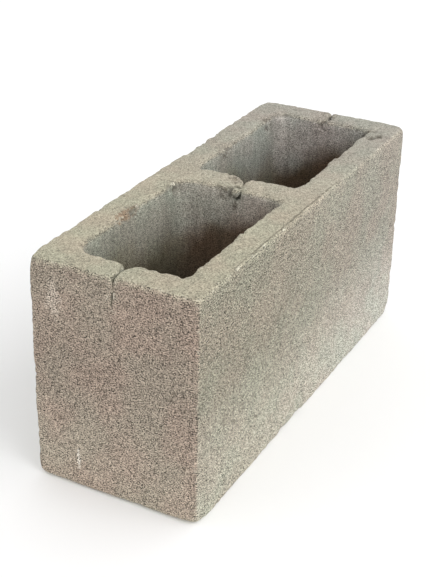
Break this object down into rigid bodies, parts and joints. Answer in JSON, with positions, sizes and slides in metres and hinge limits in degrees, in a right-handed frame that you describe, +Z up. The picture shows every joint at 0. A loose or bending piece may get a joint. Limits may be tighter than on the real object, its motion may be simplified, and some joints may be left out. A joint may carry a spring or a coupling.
{
  "type": "hollow concrete block",
  "caption": "Hollow concrete masonry block with upright rectangular cores, flat ends and thin slits at the top of its cross walls, laid in mortar to build walls.",
  "frame": {"origin": "middle of the bottom bed face, under the web between the cores", "axes": "+X along the block's length, +Y across its face shells, +Z up along the cores, from the thick ends of the walls to the thin ends"},
  "size_m": [0.397, 0.143, 0.194],
  "materials": {
    "concrete": "rough open-textured dry-cast concrete, warm grey with dark pores and pale sand grains"
  },
  "bodies": {
    "root": {"block": "concrete"}
  },
  "joints": []
}
